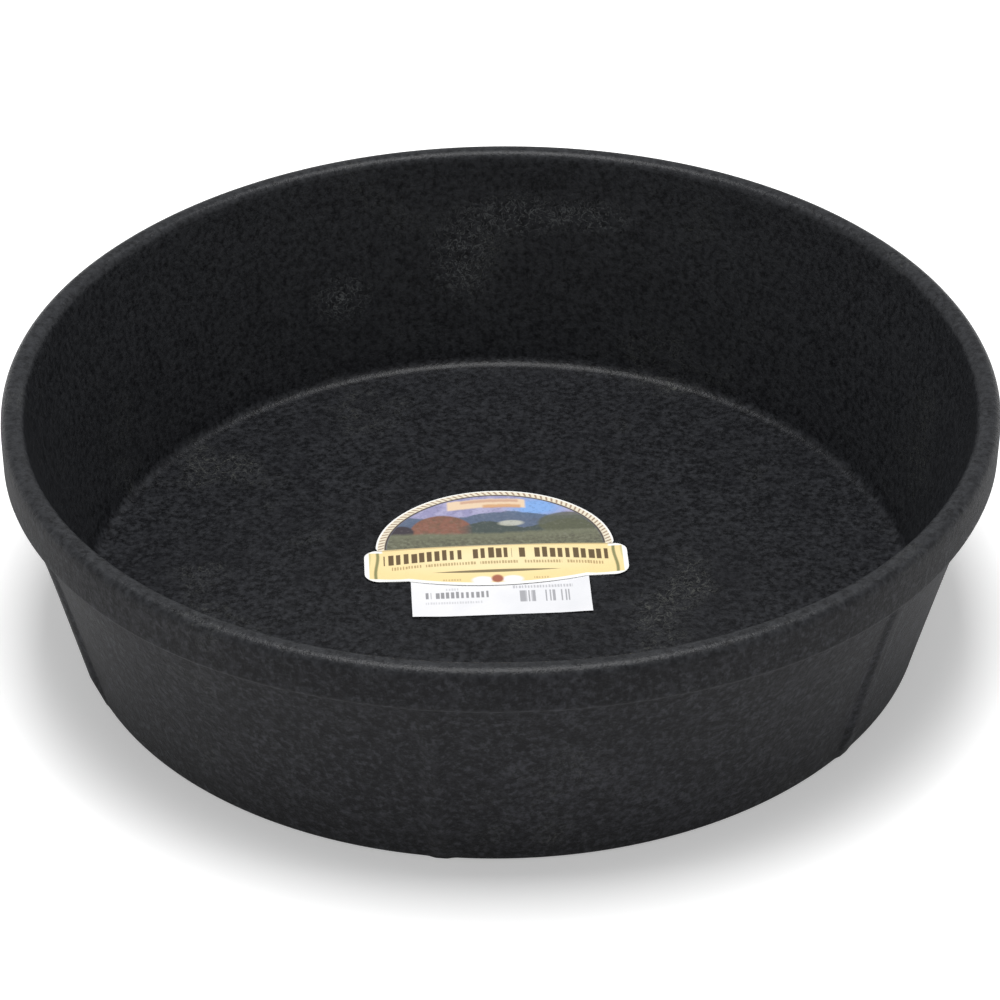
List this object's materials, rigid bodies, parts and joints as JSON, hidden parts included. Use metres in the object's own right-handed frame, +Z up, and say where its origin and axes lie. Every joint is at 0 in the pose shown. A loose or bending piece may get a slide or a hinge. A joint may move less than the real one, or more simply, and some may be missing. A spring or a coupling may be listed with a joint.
{
  "type": "feed pan",
  "caption": "Shallow round feed pan moulded in black rubber, with a thick lip, a tapered ribbed wall and a flat base. Printed stickers lie on its floor.",
  "frame": {"origin": "centre of the base, on the surface that the pan stands on", "axes": "+Z up out of the bowl; the printing on the floor of the bowl reads upright from the -Y side, with +X to its right"},
  "size_m": [0.419, 0.419, 0.112],
  "materials": {
    "black_rubber": "matte",
    "printed_label": "satin",
    "white_tag": "satin"
  },
  "bodies": {
    "root": {"rubber_pan": "black_rubber", "printed_label": "printed_label", "size_tag": "white_tag"}
  },
  "joints": []
}
